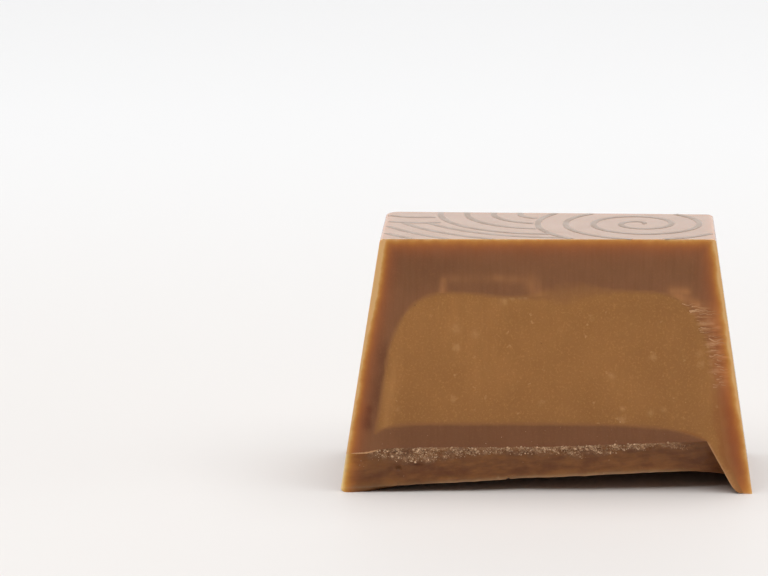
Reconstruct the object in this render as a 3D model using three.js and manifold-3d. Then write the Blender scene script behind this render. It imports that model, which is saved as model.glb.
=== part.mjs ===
// Half of a moulded chocolate praline, cut across its middle: a chocolate shell, a nut paste filling
// and the chocolate base that closes the shell. Millimetres, +Z up. The length runs along X and the
// cut faces -Y. The origin is under the middle of the half, on the surface that it stands on.

import * as THREE from "three";
import { ImprovedNoise } from "three/addons/math/ImprovedNoise.js";
import { mergeVertices } from "three/addons/utils/BufferGeometryUtils.js";
import Module from "manifold-3d";

// The whole praline, as it comes out of its mould
const baseLength = 28.3; // along X, at the open side of the mould
const baseDepth = 25.2; // along Y, both halves together
const height = 17.8;
const draftAngle = 8.8; // degrees that each side leans in
const cornerRadius = 0.5; // upright edges
const topEdgeRadius = 0.2;

// The knife cut
const cutAngle = 2.3; // degrees that it runs askew of the sides
const cutOffset = 0.08; // behind the middle of the whole praline

// The chocolate shell
const wallThickness = 1.63;
const rimThickness = 0.75; // the wall thins out to this at the open side
const rimHeight = 2.6; // where the wall has its full thickness
const innerCornerRadius = 1.2;
const insideMiddle = 0.15; // along X, so the left wall is a little thicker than the right one

// The filling's domed top, under the shell's roof
const domeHeight = 14.2;
const domeHalfSpan = 10.95;
const domeReach = 11.9; // its curve is drawn this far to each side, into the walls
const shoulderDrop = 4.1; // how far the dome has fallen at its half span
const shoulderPower = 9; // a high power keeps the dome flat and its shoulders round
const domeHollow = { place: -2.05, width: 3.2, depth: 0.45 }; // a shallow dip in it

// The base and the film of filling that keeps it off the right-hand wall
const baseTop = 4.92;
const leftDroop = { depth: 0.65, from: -11.7, length: 0.9 };
const rightDroop = { depth: 1.15, from: 10.94, length: 2.25 };
const filmFoot = { x: 12.75, z: 0.5 }; // lowest edge of the film, on the base's slanted end
const filmFootRise = 0.25; // the film's underside falls by this towards the wall

// The break: the knife stopped in the base, and the rest snapped off behind the cut
const breakEdgeLeft = 2.75; // height of the break's upper edge
const breakEdgeRight = 3.72;
const breakLowLeft = 0.24; // height of its lower edge
const breakLowRight = 1.42;
const breakLean = 0.78; // how far behind the cut the lower edge lies at the right
const breakCorner = { depth: 1.2, drop: 0.33, length: 1.3 }; // it runs back and down next to the film
const breakStep = { place: -2.15, width: 1.6, depth: 0.25 }; // a small step in it
const undercut = { length: 14, from: -14, to: -6 }; // the underside that broke away with it
const tearDepth = 0.16; // the torn lip right under the upper edge
const tearHeight = 0.3;
const cragSize = 0.9;
const cragDepth = 0.14;
const tornStart = -0.12; // the torn face runs out past its upper edge, as a share of its height
const tornEnd = 2;

// Gaps and steps
const seam = 0.1; // between two pieces that touch
const cornerSteps = 3;
const edgeSteps = 3;
const profileStep = 0.35;
const breakSteps = { along: 80, up: 16 };
const overlap = 1; // how far a cutting shape runs past what it cuts
const mergeDistance = 1e-4;

const draft = Math.tan(THREE.MathUtils.degToRad(draftAngle));
const cutSlope = Math.tan(THREE.MathUtils.degToRad(cutAngle));
const halfLength = baseLength / 2;
const halfDepth = baseDepth / 2;
const cutFront = cutOffset - halfLength * cutSlope; // the cut's nearest point
const toOrigin = -(cutFront + halfDepth) / 2;
const lerp = THREE.MathUtils.lerp;
const noise = new ImprovedNoise();

const wasm = await Module();
wasm.setup();

// A geometry's bare points, each shared by the faces that meet there
function joined(geometry) {
  return mergeVertices(geometry.deleteAttribute("normal").deleteAttribute("uv"), mergeDistance);
}

// A closed geometry as a solid that can be cut and joined
function solidOf(geometry) {
  const closed = joined(geometry);
  return new wasm.Manifold(
    new wasm.Mesh({
      numProp: 3,
      vertProperties: closed.getAttribute("position").array,
      triVerts: new Uint32Array(closed.index.array),
    }),
  );
}

// A solid as a named mesh, with the half's middle moved to the origin
function nodeOf(name, solid, material) {
  const { numProp, numVert, vertProperties, triVerts } = solid.getMesh();
  const place = new Float32Array(numVert * 3);
  for (let i = 0; i < numVert; i++) {
    place.set(vertProperties.subarray(i * numProp, i * numProp + 3), i * 3);
  }
  const geometry = new THREE.BufferGeometry()
    .setAttribute("position", new THREE.BufferAttribute(place, 3))
    .setIndex(new THREE.BufferAttribute(triVerts, 1))
    .translate(0, toOrigin, 0);
  geometry.computeVertexNormals();
  const mesh = new THREE.Mesh(geometry, material);
  mesh.name = name;
  return mesh;
}

function roundedRectangle(length, depth, radius) {
  const [x, y] = [length / 2 - radius, depth / 2 - radius];
  const quarter = Math.PI / 2;
  return new THREE.Shape()
    .absarc(x, y, radius, 0, quarter)
    .absarc(-x, y, radius, quarter, 2 * quarter)
    .absarc(-x, -y, radius, 2 * quarter, 3 * quarter)
    .absarc(x, -y, radius, 3 * quarter, 4 * quarter);
}

// The mould's outline drawn through levels, each with its height and its inset from the base outline
function mouldedBlock(levels, radius) {
  const steps = levels.length - 1;
  const block = new THREE.ExtrudeGeometry(roundedRectangle(baseLength, baseDepth, radius), {
    depth: steps,
    steps,
    bevelEnabled: false,
    curveSegments: cornerSteps,
  });
  const drawnIn = (v, inset) => v - Math.sign(v) * inset;
  const place = block.getAttribute("position");
  for (let i = 0; i < place.count; i++) {
    const { z, inset } = levels[Math.round(place.getZ(i))];
    place.setXYZ(i, drawnIn(place.getX(i), inset), drawnIn(place.getY(i), inset), z);
  }
  return block;
}

function outerLevels() {
  const levels = [{ z: 0, inset: 0 }];
  for (let i = 0; i <= edgeSteps; i++) {
    const turn = (i / edgeSteps) * (Math.PI / 2);
    const z = height - topEdgeRadius * (1 - Math.sin(turn));
    levels.push({ z, inset: z * draft + topEdgeRadius * (1 - Math.cos(turn)) });
  }
  return levels;
}

// The space inside the shell's walls, drawn in by a clearance for the pieces that fill it
function innerLevels(clearance) {
  const rimLean = (wallThickness - rimThickness) / rimHeight + draft;
  const inset = rimThickness + clearance;
  return [
    { z: -overlap, inset: inset - overlap * rimLean },
    { z: rimHeight, inset: inset + rimHeight * rimLean },
    { z: height, inset: wallThickness + clearance + height * draft },
  ];
}

const bell = (x, { place, width, depth }) => depth * Math.exp(-(((x - place) / width) ** 2));

function domeZ(x) {
  const shoulder = shoulderDrop * Math.abs((x - insideMiddle) / domeHalfSpan) ** shoulderPower;
  return domeHeight - shoulder - bell(x, domeHollow);
}

function baseTopZ(x) {
  const droop = ({ depth, from, length }) => depth * Math.exp(-Math.abs(x - from) / length);
  return baseTop - droop(leftDroop) - droop(rightDroop);
}

const notch = { x: rightDroop.from, z: baseTopZ(rightDroop.from) };
const baseEndX = (z) => notch.x + ((notch.z - z) * (filmFoot.x - notch.x)) / (notch.z - filmFoot.z);

const point = (x, z) => new THREE.Vector2(x, z);

// Points of a height function from one x to another
function along(heightAt, from, to) {
  const steps = Math.ceil(Math.abs(to - from) / profileStep);
  return Array.from({ length: steps + 1 }, (_, i) => {
    const x = lerp(from, to, i / steps);
    return point(x, heightAt(x));
  });
}

// A profile in X and Z run through the whole depth
function runThrough(points) {
  return new THREE.ExtrudeGeometry(new THREE.Shape(points), { depth: baseDepth, bevelEnabled: false })
    .rotateX(Math.PI / 2)
    .translate(0, halfDepth, 0);
}

// Everything under the roof, down to below the open side
function cavityProfile() {
  return [
    point(-halfLength, -overlap),
    point(halfLength, -overlap),
    ...along(domeZ, insideMiddle + domeReach, insideMiddle - domeReach),
  ];
}

function fillingProfile() {
  return [
    ...along(baseTopZ, -halfLength, notch.x),
    point(filmFoot.x, filmFoot.z),
    point(halfLength, filmFoot.z - filmFootRise),
    ...along((x) => domeZ(x) - seam, insideMiddle + domeReach, insideMiddle - domeReach),
  ];
}

function baseProfile() {
  return [
    point(-halfLength, 0),
    point(baseEndX(0) - seam, 0),
    ...along((x) => baseTopZ(x) - seam, notch.x - seam, -halfLength),
  ];
}

// What the break takes away, in front of a torn face and below the underside behind it
function brokenOff() {
  const left = -halfLength - overlap;
  const gone = joined(new THREE.BoxGeometry(1, 1, 1, breakSteps.along, 1, breakSteps.up));
  const place = gone.getAttribute("position");
  for (let i = 0; i < place.count; i++) {
    const [across, back, up] = [place.getX(i), place.getY(i), place.getZ(i)].map((v) => v + 0.5);
    const torn = tornFace(left, across, lerp(tornEnd, tornStart, up));
    const x = lerp(left, baseEndX(torn.z), across);
    place.setXYZ(i, x, back > 0.5 ? torn.y : cutFront - overlap, torn.z);
  }
  return gone;
}

// A point of the broken surface: shares 0 to 1 run down the torn face, and 1 to 2 back under the base
function tornFace(left, across, share) {
  const edgeZ = lerp(breakEdgeLeft, breakEdgeRight, across);
  const x = lerp(left, baseEndX(edgeZ), across);
  const corner = Math.exp((x - notch.x) / breakCorner.length);
  const low = Math.max(0, lerp(breakLowLeft, breakLowRight, across) - breakCorner.drop * corner);
  const reach = breakLean * across + breakCorner.depth * corner + bell(x, breakStep);
  const down = Math.min(share, 1);
  const back = Math.max(share - 1, 0);
  const slide = down * (edgeZ - low);
  const deep = (tearDepth + cragDepth * crags(x, slide)) * Math.min(slide / tearHeight, 1);
  const under = undercut.length * THREE.MathUtils.smoothstep(x, undercut.from, undercut.to);
  return {
    y: cutOffset + x * cutSlope + reach * down + deep + under * back,
    z: lerp(edgeZ - slide, -overlap, back),
  };
}

// Rough lumps, by the way along the break and the way down it
function crags(run, down) {
  const layer = (size) => noise.noise(run / size, down / size, size);
  return layer(cragSize) + layer(cragSize / 2);
}

// Everything behind the knife cut
const behindCut = solidOf(
  new THREE.BoxGeometry(2 * baseLength, baseDepth, 2 * height)
    .translate(0, halfDepth, height / 2)
    .rotateZ(THREE.MathUtils.degToRad(cutAngle))
    .translate(0, cutOffset, 0),
);
const broken = solidOf(brokenOff());
const innerBlock = (clearance) =>
  solidOf(mouldedBlock(innerLevels(clearance), innerCornerRadius).translate(insideMiddle, 0, 0));
const insideShell = innerBlock(0);
const insideFilled = innerBlock(seam).intersect(behindCut);

const shell = solidOf(mouldedBlock(outerLevels(), cornerRadius))
  .intersect(behindCut)
  .subtract(insideShell.intersect(solidOf(runThrough(cavityProfile()))))
  .subtract(broken);
const filling = solidOf(runThrough(fillingProfile())).intersect(insideFilled);
const base = solidOf(runThrough(baseProfile())).intersect(insideFilled).subtract(broken);

const milkChocolate = new THREE.MeshStandardMaterial({ color: 0x7a5238, roughness: 0.42, metalness: 0 });
const nutPaste = new THREE.MeshStandardMaterial({ color: 0x91643b, roughness: 0.6, metalness: 0 });
const baseChocolate = new THREE.MeshStandardMaterial({ color: 0x704b33, roughness: 0.5, metalness: 0 });

const praline = new THREE.Group();
praline.name = "praline_half";
praline.add(
  nodeOf("shell", shell, milkChocolate),
  nodeOf("filling", filling, nutPaste),
  nodeOf("base", base, baseChocolate),
);

export default praline;
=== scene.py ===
import math
import random

import bmesh
import bpy
from mathutils import Euler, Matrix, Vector, noise


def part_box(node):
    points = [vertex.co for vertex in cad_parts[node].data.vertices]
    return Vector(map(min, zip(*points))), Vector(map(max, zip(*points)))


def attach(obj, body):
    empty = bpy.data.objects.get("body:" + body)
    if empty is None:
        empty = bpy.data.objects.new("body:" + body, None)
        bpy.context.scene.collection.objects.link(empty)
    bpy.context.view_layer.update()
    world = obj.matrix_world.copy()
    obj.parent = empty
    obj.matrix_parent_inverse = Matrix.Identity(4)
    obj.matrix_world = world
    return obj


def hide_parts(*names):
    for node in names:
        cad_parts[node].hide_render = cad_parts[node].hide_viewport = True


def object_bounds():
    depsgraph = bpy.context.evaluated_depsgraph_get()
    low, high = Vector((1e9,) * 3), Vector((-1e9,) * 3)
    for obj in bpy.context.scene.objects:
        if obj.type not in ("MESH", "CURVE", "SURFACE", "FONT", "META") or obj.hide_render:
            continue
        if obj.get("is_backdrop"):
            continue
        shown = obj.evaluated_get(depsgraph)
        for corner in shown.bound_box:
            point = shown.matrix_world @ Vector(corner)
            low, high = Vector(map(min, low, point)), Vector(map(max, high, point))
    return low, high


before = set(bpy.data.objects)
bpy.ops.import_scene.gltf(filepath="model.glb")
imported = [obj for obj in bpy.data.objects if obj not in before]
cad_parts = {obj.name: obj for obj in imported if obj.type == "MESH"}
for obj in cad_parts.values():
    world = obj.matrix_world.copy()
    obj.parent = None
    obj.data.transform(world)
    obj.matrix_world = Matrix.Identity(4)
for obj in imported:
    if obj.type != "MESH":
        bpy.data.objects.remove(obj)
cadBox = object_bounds()
bpy.ops.object.select_all(action="DESELECT")

mm = 0.001
coarse = 1
over = 1 * mm  # how far a carving shape runs past what it carves
hair = 0.01 * mm  # a step too small to see
shellLow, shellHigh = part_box("shell")

# the whole praline as it leaves its mould, and the knife's way through it
mould = {
    "length": shellHigh[0] - shellLow[0],
    "height": shellHigh[2],
    "depth": 25.2 * mm,  # both halves together
    "draft": math.tan(math.radians(8.8)),
    "upright": (0.5 * mm, 5),  # width and segments of its edges
    "wornUpright": (0.95 * mm, 6),  # the back left one
    "topEdge": (0.2 * mm, 4),
    "wornCorner": (0.25 * mm, 4),  # the lower left edge
    "cutAngle": math.radians(2.3),
    "cutBehindMiddle": 0.08 * mm,
}
halfLength = mould["length"] / 2
middleY = shellHigh[1] - mould["depth"] / 2
cutNormal = Vector((math.sin(mould["cutAngle"]), -math.cos(mould["cutAngle"]), 0))
cutPoint = Vector((0, middleY + mould["cutBehindMiddle"], 0))

# the space inside the walls, with the filling's domed top
inside = {
    "middle": 0.15 * mm,  # the left wall is a little thicker than the right one
    "wall": 1.63 * mm,
    "rim": 0.75 * mm,  # the wall thins out to this at the open side
    "rimHeight": 2.6 * mm,
    "corner": (1.2 * mm, 5),
    "domeHeight": 14.2 * mm,
    "domeHalfSpan": 10.95 * mm,
    "shoulderDrop": 4.1 * mm,
    "shoulderPower": 9,
    "dip": (-2.05 * mm, 3.2 * mm, 0.45 * mm),  # place, width, depth
    "profileStep": 0.3 * mm,
}

# the base, with the film of filling that keeps it off the right wall
closing = {
    "top": 4.92 * mm,
    "leftDroop": (0.65 * mm, -11.7 * mm, 0.9 * mm),  # depth, place, length
    "rightDroop": (1.15 * mm, 10.94 * mm, 2.25 * mm),
    "filmFoot": (12.75 * mm, 0.5 * mm),
    "filmFootSlope": 0.12,
    "filmFootFall": 1.2,  # steeper still on its way to the wall
    "filmFootLeast": 0.03 * mm,  # it stays this far off the table
    "filmFootNear": 0.05 * mm,  # points up to this far above it move with it
}


def mix(a, b, share):
    return a + (b - a) * share


def ramp(value, low, high):
    share = min(max((value - low) / (high - low), 0), 1)
    return share * share * (3 - 2 * share)


def bell(x, place, width, depth):
    return depth * math.exp(-(((x - place) / width) ** 2))


def roughness(x, y, seed, size, amount=1.0):
    return amount * noise.noise(Vector((x / size, y / size, seed)))


def layered(x, y, layers):
    # each layer has its stretch along y, seed, size and amount
    return sum(roughness(x, y / stretch, *layer) for stretch, *layer in layers)


def cutY(x):
    return cutPoint.y + x * math.tan(mould["cutAngle"])


def outsideX(z):
    return halfLength - z * mould["draft"]


def wallAt(z):
    return mix(inside["rim"], inside["wall"], min(z / inside["rimHeight"], 1))


def insideX(z):
    return outsideX(z) - wallAt(z)


def insideDepth(z):
    return mould["depth"] / 2 - z * mould["draft"] - wallAt(z)


def domeZ(x):
    across = abs(x - inside["middle"]) / inside["domeHalfSpan"]
    drop = inside["shoulderDrop"] * across ** inside["shoulderPower"]
    return inside["domeHeight"] - drop - bell(x, *inside["dip"])


def droop(x, depth, place, length):
    return depth * math.exp(-abs(x - place) / length)


def baseTopZ(x):
    return closing["top"] - droop(x, *closing["leftDroop"]) - droop(x, *closing["rightDroop"])


notchX = closing["rightDroop"][1]
notchZ = baseTopZ(notchX)


def baseEndX(z):
    footX, footZ = closing["filmFoot"]
    return mix(notchX, footX, (notchZ - z) / (notchZ - footZ))


# the height where the dome leaves the walls
shoulder = inside["rimHeight"]
while domeZ(inside["middle"] + insideX(shoulder)) > shoulder:
    shoulder += hair

print("sizes set, shoulder at", round(shoulder / mm, 2), "mm")


# ways of working on a mesh

meshing = {
    "bisect": 1e-8,
    "merge": 0.0005 * mm,
    "dissolve": 0.0002 * mm,
    "smooth": math.radians(35),
}


def takeUp(piece):
    bpy.ops.object.select_all(action="DESELECT")
    piece.select_set(True)
    bpy.context.view_layer.objects.active = piece


def addBlock(name, low, high):
    bpy.ops.object.select_all(action="DESELECT")
    bpy.ops.mesh.primitive_cube_add(size=1, location=[(a + b) / 2 for a, b in zip(low, high)])
    block = bpy.context.object
    block.scale = [b - a for a, b in zip(low, high)]
    bpy.ops.object.transform_apply(location=True, rotation=True, scale=True)
    block.name = block.data.name = name
    return block


def copyOf(piece, name):
    takeUp(piece)
    bpy.ops.object.duplicate()
    twin = bpy.context.object
    twin.name = twin.data.name = name
    return twin


def editOn(piece):
    takeUp(piece)
    bpy.ops.object.mode_set(mode="EDIT")


def editOff():
    bpy.ops.object.mode_set(mode="OBJECT")


def pick(piece, kind, wanted):
    bpy.ops.mesh.select_mode(type=kind)
    bpy.ops.mesh.select_all(action="DESELECT")
    shape = bmesh.from_edit_mesh(piece.data)
    for part in {"VERT": shape.verts, "EDGE": shape.edges, "FACE": shape.faces}[kind]:
        if wanted(part):
            part.select_set(True)
    shape.select_flush_mode()
    bmesh.update_edit_mesh(piece.data)


def roundEdges(piece, wanted, width, segments):
    pick(piece, "EDGE", wanted)
    bpy.ops.mesh.bevel(offset=width, segments=segments, affect="EDGES")


def isUpright(edge):
    a, b = [vert.co for vert in edge.verts]
    return abs(a.z - b.z) > 0.5 * (a - b).length


def isBackLeft(edge):
    return all(vert.co.x < 0 < vert.co.y - middleY for vert in edge.verts)


def isLowLeft(edge):
    return all(vert.co.z < over and vert.co.x < 0 for vert in edge.verts)


def isTop(face):
    return face.normal.z > 0.9


def isBottom(face):
    return face.normal.z < -0.9


def cutAway(piece, point, normal):
    editOn(piece)
    bpy.ops.mesh.select_mode(type="FACE")
    bpy.ops.mesh.select_all(action="SELECT")
    threshold = meshing["bisect"]
    bpy.ops.mesh.bisect(plane_co=point, plane_no=normal, use_fill=True, clear_outer=True, threshold=threshold)
    editOff()


def divideSlot(piece, slot, axis, low, high, step):
    # cuts the faces of one material slot into strips
    count = math.ceil((high - low) / step)
    across = Vector([float(i == axis) for i in range(3)])
    editOn(piece)
    bpy.ops.mesh.select_mode(type="FACE")
    for i in range(1, count):
        bpy.ops.mesh.select_all(action="DESELECT")
        piece.active_material_index = slot
        bpy.ops.object.material_slot_select()
        place = across * mix(low, high, i / count)
        bpy.ops.mesh.bisect(plane_co=place, plane_no=across, threshold=meshing["bisect"])
    editOff()


def modify(piece, kind, **settings):
    takeUp(piece)
    bpy.ops.object.modifier_add(type=kind)
    step = piece.modifiers[-1]
    for key, value in settings.items():
        setattr(step, key, value)
    bpy.ops.object.modifier_apply(modifier=step.name)


def carve(piece, tool, operation):
    modify(piece, "BOOLEAN", operation=operation, solver="EXACT", object=tool)


def setSlots(piece, materials, slotOf):
    piece.data.materials.clear()
    for material in materials:
        piece.data.materials.append(material)
    for face in piece.data.polygons:
        face.material_index = slotOf(face)


def closeUp(piece):
    editOn(piece)
    bpy.ops.mesh.select_all(action="SELECT")
    bpy.ops.mesh.remove_doubles(threshold=meshing["merge"])
    bpy.ops.mesh.dissolve_degenerate(threshold=meshing["dissolve"])
    bpy.ops.mesh.select_all(action="SELECT")
    bpy.ops.mesh.normals_make_consistent(inside=False)
    editOff()


def meshPiece(name, places, corners, material):
    mesh = bpy.data.meshes.new(name)
    mesh.from_pydata(places, [], corners)
    mesh.materials.append(material)
    piece = bpy.data.objects.new(name, mesh)
    bpy.context.collection.objects.link(piece)
    return piece


def putIn(piece, node=None):
    takeUp(piece)
    bpy.ops.object.shade_smooth_by_angle(angle=meshing["smooth"])
    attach(piece, "root")
    if node:
        # big flat faces keep their own normals next to rounded edges
        modify(piece, "WEIGHTED_NORMAL", keep_sharp=True)
        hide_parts(node)
    print(piece.name, "has", len(piece.data.polygons), "faces")


def storeMark(piece, name, values):
    layer = piece.data.attributes.new(name, "FLOAT", "POINT")
    layer.data.foreach_set("value", values)


# ways of working on a material

dots = {"core": 0.2, "firm": 0.6}  # shares of a dot that is all colour, and of the dots that are strong
lightReach = (1.0, 0.36, 0.12)  # red light goes deepest into chocolate


def screenColour(red, green, blue):
    # colours are written as on a screen, 0 to 255, and a shader wants them linear
    def linear(value):
        value = value / 255
        return value / 12.92 if value <= 0.04045 else ((value + 0.055) / 1.055) ** 2.4

    return (linear(red), linear(green), linear(blue), 1)


making = {}  # holds the node tree that is being filled


def newMaterial(name):
    material = bpy.data.materials.new(name)
    material.use_nodes = True
    making["tree"] = material.node_tree
    return material, material.node_tree.nodes["Principled BSDF"]


def fillSocket(socket, value):
    if isinstance(value, bpy.types.NodeSocket):
        making["tree"].links.new(value, socket)
    else:
        socket.default_value = value


def addNode(kind, inputs=None, **settings):
    node = making["tree"].nodes.new(kind)
    for key, value in settings.items():
        setattr(node, key, value)
    for key, value in (inputs or {}).items():
        fillSocket(node.inputs[key], value)
    return node


def objectPlace(stretch=(1, 1, 1), shift=0.0, slant=0.0):
    # object coordinates in millimetres, stretched along an axis for streaks
    coords = addNode("ShaderNodeTexCoord")
    values = {"Vector": coords.outputs["Object"], "Location": (0, shift * mm, 0)}
    values["Rotation"] = (0, math.radians(slant), 0)
    values["Scale"] = [value * mm for value in stretch]
    return addNode("ShaderNodeMapping", values, vector_type="TEXTURE").outputs["Vector"]


def axisPlace(axis):
    coords = addNode("ShaderNodeTexCoord")
    return addNode("ShaderNodeSeparateXYZ", {"Vector": coords.outputs["Object"]}).outputs[axis]


def addMath(operation, first, second=0.0, third=0.0):
    values = {0: first, 1: second, 2: third}
    return addNode("ShaderNodeMath", values, operation=operation).outputs["Value"]


def times(first, second):
    return addMath("MULTIPLY", first, second)


def addRange(value, low, high, toLow=0.0, toHigh=1.0):
    values = {"Value": value, "From Min": low, "From Max": high, "To Min": toLow, "To Max": toHigh}
    return addNode("ShaderNodeMapRange", values, interpolation_type="SMOOTHSTEP").outputs["Result"]


def addNoise(place, size, detail=2.0, rough=0.5):
    values = {"Vector": place, "Scale": 1 / size, "Detail": detail, "Roughness": rough}
    return addNode("ShaderNodeTexNoise", values).outputs["Fac"]


def addPatches(place, cloud, span):
    return addRange(addNoise(place, *cloud), *span)


def addDots(place, spacing, radius, share, amount):
    # soft round dots in a share of the cells
    cells = addNode("ShaderNodeTexVoronoi", {"Vector": place, "Scale": 1 / spacing})
    chance = addNode("ShaderNodeSeparateColor", {"Color": cells.outputs["Color"]}).outputs["Red"]
    rim = radius / spacing
    dot = addRange(cells.outputs["Distance"], dots["core"] * rim, rim, 1.0, 0.0)
    dot = times(dot, addRange(chance, 1 - share, 1 - dots["firm"] * share))
    return times(dot, amount)


def addMix(share, first, second, mode="MIX"):
    node = addNode("ShaderNodeMix", data_type="RGBA", blend_type=mode)
    for index, value in ((0, share), (6, first), (7, second)):
        fillSocket(node.inputs[index], value)
    return node.outputs[2]


def blend(share, first, second):
    return addMix(share, finishes[first], finishes[second])


def tint(colour, share, other):
    return addMix(share, colour, finishes[other])


def addMark(name):
    return addNode("ShaderNodeAttribute", attribute_name=name).outputs["Fac"]


def addFade(distance, length, amount):
    # strongest at the edge, fading with the distance from it
    return times(addMath("EXPONENT", addMath("DIVIDE", distance, -length)), amount)


def paint(shader, colour, rough):
    fillSocket(shader.inputs["Base Color"], colour)
    fillSocket(shader.inputs["Roughness"], rough)


def dress(shader, look, colour, rough, coarser, finer):
    # colour, gloss, fine relief, and the light that goes in
    paint(shader, colour, rough)
    weight, strength, distance = look["bump"]
    height = addMath("MULTIPLY_ADD", coarser, weight, finer)
    values = {"Height": height, "Strength": strength, "Distance": distance}
    fillSocket(shader.inputs["Normal"], addNode("ShaderNodeBump", values).outputs["Normal"])
    weight, depth, shine = look["lightIn"]
    shader.inputs["Subsurface Weight"].default_value = weight
    shader.inputs["Subsurface Radius"].default_value = lightReach
    shader.inputs["Subsurface Scale"].default_value = depth
    shader.inputs["Specular IOR Level"].default_value = shine


def sideDistances():
    # millimetres to the mould's sides, top and back, from object coordinates
    x, y, z = [axisPlace(axis) for axis in "XYZ"]
    lean = times(z, -mould["draft"])
    halfWidth = addMath("ADD", lean, halfLength)
    distances = {
        "left": addMath("ADD", halfWidth, x),
        "right": addMath("SUBTRACT", halfWidth, x),
        "top": addMath("SUBTRACT", mould["height"], z),
        "back": addMath("SUBTRACT", addMath("ADD", lean, shellHigh[1]), y),
        "floor": z,
    }
    return {side: addMath("DIVIDE", value, mm) for side, value in distances.items()}


# the chocolates and the filling
finishes = {
    "moulded": (145, 98, 56),
    "mouldedPale": (154, 105, 62),
    # a painted glow for the mould's edges
    "mouldedEdgeGlow": (206, 132, 74),
    "cutShell": (137, 89, 54),
    "cutDeep": (130, 84, 49),
    # a painted glow for the cut's edges
    "cutEdgeGlow": (144, 80, 24),
    "cutShade": (100, 54, 24),
    "wallPale": (174, 116, 68),
    "wallRed": (141, 77, 31),
    "paste": (168, 114, 58),
    "pasteDeep": (157, 105, 51),
    "pastePale": (190, 134, 74),
    "pasteDark": (140, 92, 44),
    # nut specks, and the painted glow at the film's thin end
    "speckAndGlow": (206, 156, 98),
    "pinhole": (96, 56, 24),
    "torn": (137, 88, 44),
    "tornDeep": (109, 64, 31),
    # pale grains, and the painted highlight on the torn face's lower edge
    "tornPaleAndLit": (240, 200, 160),
    # a painted glow for the torn face's ends
    "tornEndGlow": (140, 104, 50),
    # painted shade in pits, dents, the recess by the film and under the grainy strip, and darker on the left
    "tornShadeDark": (88, 48, 24),
    "crumbPale": (248, 212, 172),
    # scraped lines, and the painted highlight on the film's free edge
    "strokeAndHighlight": (204, 156, 110),
    "print": (136, 110, 88),
}
finishes = {name: screenColour(*colour) for name, colour in finishes.items()}
# painted glow along edges, for light that comes through thin chocolate
# red light travels furthest in chocolate: how much of each colour an edge lets out, and from how deep
edgeLight = [("Red", 0.62, 0.387), ("Green", 0.58, 0.203), ("Blue", 0.42, 0.1)]
wallChange = (5.5 * mm, 9 * mm)  # the right wall is reddish below and pale above


# adds a painted glow that fades with the distance from an edge
def edgeGlow(colour, distance, strength=1.0):
    parts = {}
    for channel, amount, length in edgeLight:
        parts[channel] = addFade(distance, length, amount * strength)
    glow = addNode("ShaderNodeCombineColor", parts).outputs["Color"]
    return addMix(1.0, colour, glow, "ADD")


def wallColour():
    high = addRange(axisPlace("Z"), *wallChange)
    return blend(high, "wallRed", "wallPale")


# in these looks a noise is its size in millimetres, detail and roughness, a range is two values and what
# they turn into, dots are their spacing, radius, share and strength, a fade is its length and strength,
# bump is the coarser noise's weight, strength and depth, and lightIn is weight, depth and shine
stutterLook = {
    "stretch": (5, 5, 1),
    "ripples": (0.24, 3.0, 0.55),
    "dark": (0.36, 0.52, 0.38, 0.0),
    "pale": (0.5, 0.68, 0.0, 0.5),
}


def addStutter(colour):
    # dark and pale ripples where the blade stuttered
    mark = addMark("stutter")
    ripples = addNoise(objectPlace(stutterLook["stretch"]), *stutterLook["ripples"])
    for tone, other in (("dark", "cutShade"), ("pale", "strokeAndHighlight")):
        colour = tint(colour, times(addRange(ripples, *stutterLook[tone]), mark), other)
    return colour


mouldedLook = {
    "clouds": [(5.0, 4.0, 0.6), (0.35, 0.75)],
    "dust": [(0.25, 3.0, 0.7), (0.55, 0.8, 0.0, 0.25)],
    # the painted glow along the mould's edges
    "edge": (0.28, 0.6),
    "rough": [(1.6, 4.0, 0.6), (0.3, 0.7, 0.16, 0.22)],
    "swells": (3.5, 2.0, 0.5),
    "ripples": (0.5, 3.0, 0.5),
    "bump": (4.0, 0.15, 0.02 * mm),
    "lightIn": (0.2, 0.5 * mm, 0.5),
}


def makeMoulded():
    look = mouldedLook
    material, shader = newMaterial("moulded chocolate")
    place = objectPlace()
    clouds = addPatches(place, *look["clouds"])
    colour = blend(clouds, "moulded", "mouldedPale")
    colour = tint(colour, addPatches(place, *look["dust"]), "mouldedPale")
    # painted glow where light comes through the mould's edges: the second nearest side tells how far off they
    # are
    near = sideDistances()
    sideways = addMath("MINIMUM", near["left"], near["right"])
    first = addMath("MINIMUM", sideways, near["top"])
    second = addMath("MAXIMUM", sideways, near["top"])
    edge = addMath("MAXIMUM", first, addMath("MINIMUM", second, near["back"]))
    edge = addMath("MINIMUM", addMath("MAXIMUM", edge, 0.0), near["floor"])
    colour = tint(colour, addFade(edge, *look["edge"]), "mouldedEdgeGlow")
    swells = addNoise(place, *look["swells"])
    ripples = addNoise(place, *look["ripples"])
    dress(shader, look, colour, addPatches(place, *look["rough"]), swells, ripples)
    return material


cutLook = {
    "clouds": [(3.0, 3.0, 0.55), (0.3, 0.7)],
    "stretch": (1, 1, 12),
    "streaks": (0.22, 3.0, 0.6),
    "streakTone": (0.35, 0.75, 0.0, 0.12),
    "grain": (0.12, 3.0, 0.6),
    "grainTone": (0.5, 0.75, 0.0, 0.15),
    "leftGlowStrip": (9.0, 14.5, 0.06, 0.3),  # the left edge's painted glow, all pale, low down and at the top
    "leftFall": 1.2,
    "rightShift": (3.0, 8.0, 0.06, -0.09),
    "topShift": 0.1,
    "corner": 0.3,
    "wander": [(1.1, 3.0, 0.6), (0.2, 0.8, -0.07, 0.09)],
    "nearest": 0.09,
    "glowTint": (0.5, 0.85),
    "floorGlow": 0.3,
    "rough": (0.2, 0.8, 0.42, 0.6),
    "bump": (0.5, 0.15, 0.02 * mm),
    "lightIn": (0.15, 0.4 * mm, 0.35),
}


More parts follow.
